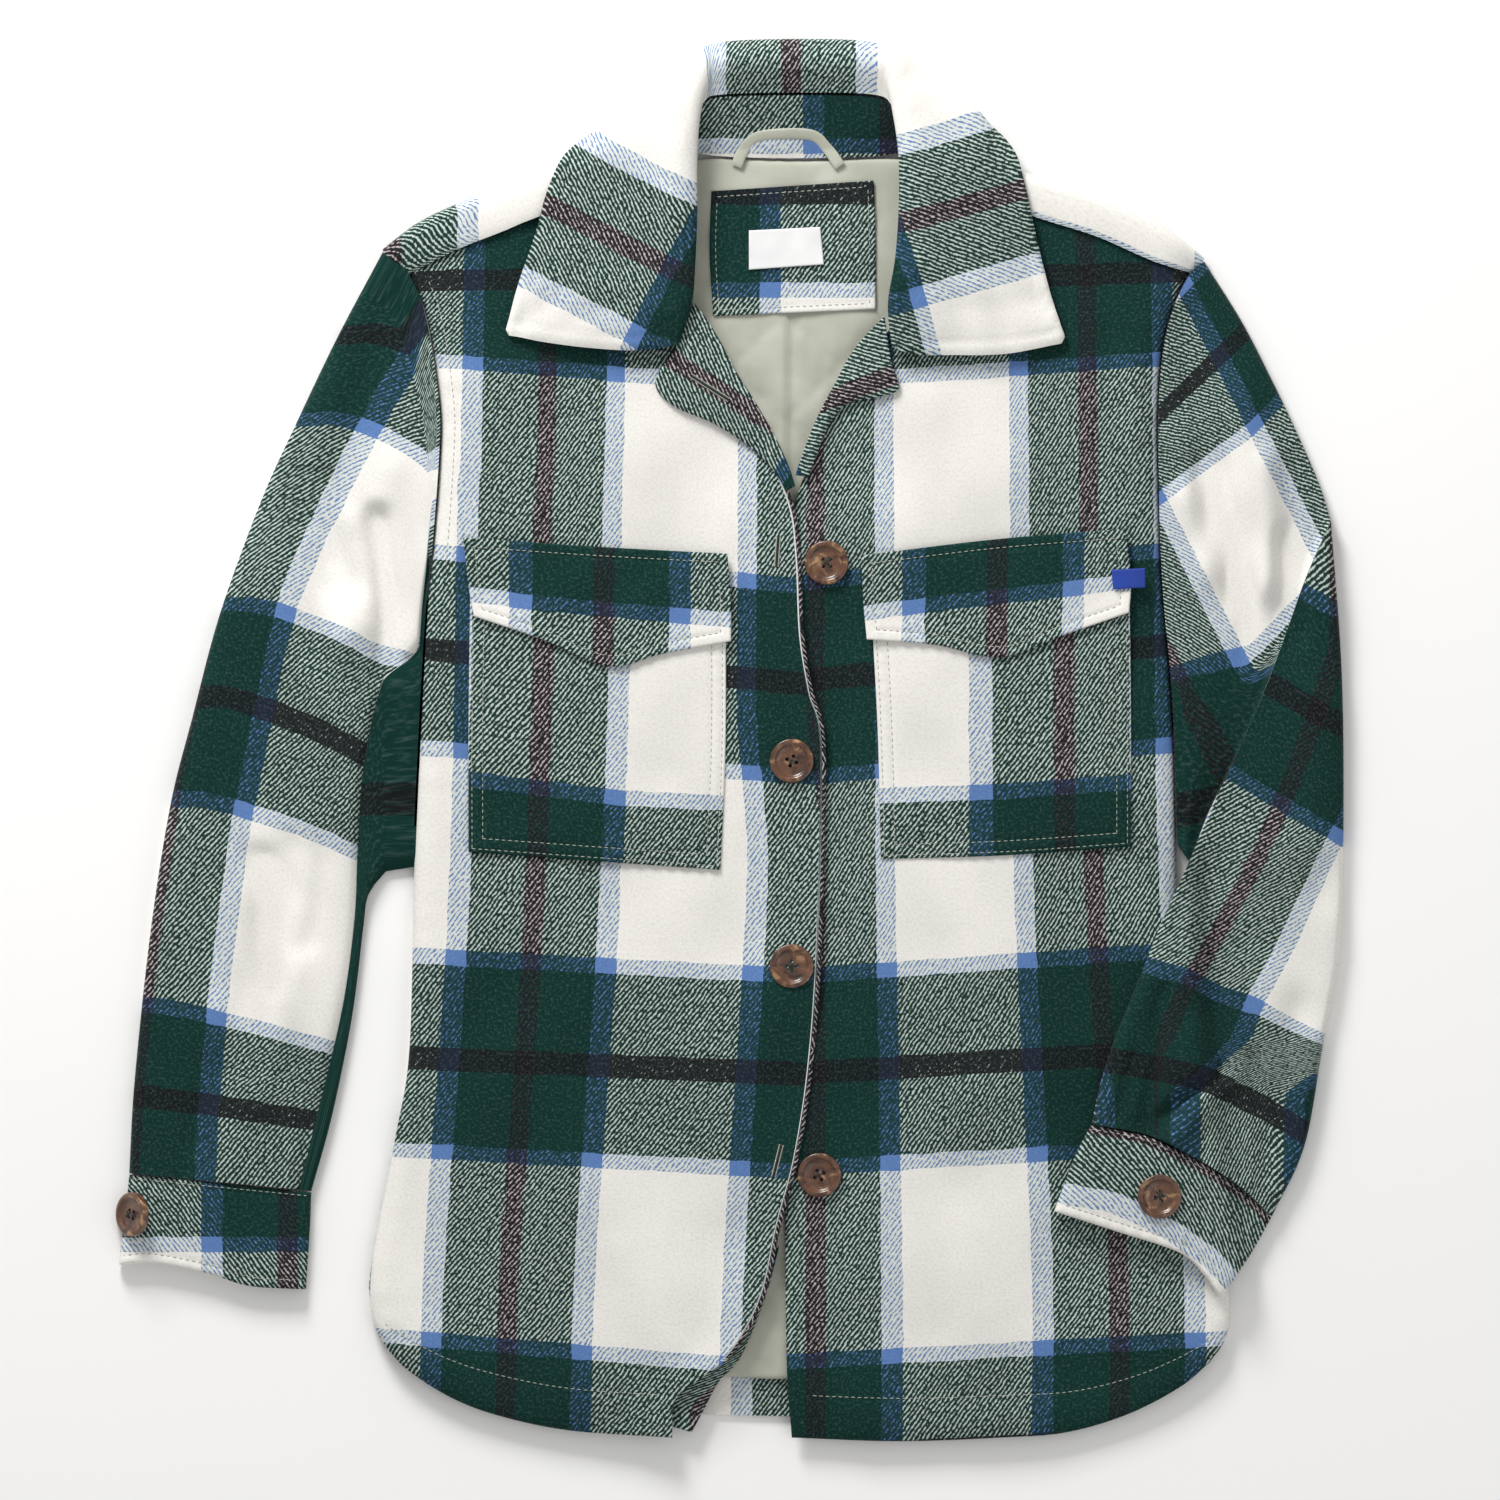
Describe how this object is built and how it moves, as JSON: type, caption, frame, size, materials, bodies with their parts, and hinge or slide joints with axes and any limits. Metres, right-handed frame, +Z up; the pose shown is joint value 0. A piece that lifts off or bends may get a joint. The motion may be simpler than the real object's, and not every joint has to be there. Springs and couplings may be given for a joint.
{
  "type": "shirt jacket",
  "caption": "Buttoned twill shirt jacket with quilted lining, chest flap pockets and a fold-over collar, laid flat on its back with one sleeve bent",
  "frame": {"origin": "on the floor, under the middle of the whole outline as the jacket lies on its back", "axes": "+Y runs from the hem to the collar, +X to the wearer's left sleeve, +Z up from the floor through the front"},
  "size_m": [0.6888, 0.783, 0.0262],
  "materials": {
    "shell_cloth": "brushed twill, matt, checked in green, cream, light blue and purple black",
    "lining_cloth": "smooth woven lining, quilted over thin wadding, slight sheen",
    "label_cloth": "woven satin label, bare",
    "tab_cloth": "woven tab, bare",
    "button_resin": "horn-like resin, semi-gloss, marbled brown"
  },
  "bodies": {
    "root": {"back_panel": "shell_cloth", "back_lining": "lining_cloth", "front_right": "shell_cloth", "front_left": "shell_cloth", "lapel_right": "shell_cloth", "lapel_left": "shell_cloth", "facing_right": "shell_cloth", "sleeve_right": "shell_cloth", "sleeve_left": "shell_cloth", "cuff_right": "shell_cloth", "cuff_left": "shell_cloth", "collar_fall": "shell_cloth", "collar_stand": "shell_cloth", "pocket_right": "shell_cloth", "pocket_left": "shell_cloth", "flap_right": "shell_cloth", "flap_left": "shell_cloth", "neck_patch": "shell_cloth", "neck_label": "label_cloth", "hanging_loop": "lining_cloth", "pocket_tab": "tab_cloth", "button_1": "button_resin", "button_2": "button_resin", "button_3": "button_resin", "button_4": "button_resin", "button_cuff_right": "button_resin", "button_cuff_left": "button_resin"}
  },
  "joints": []
}
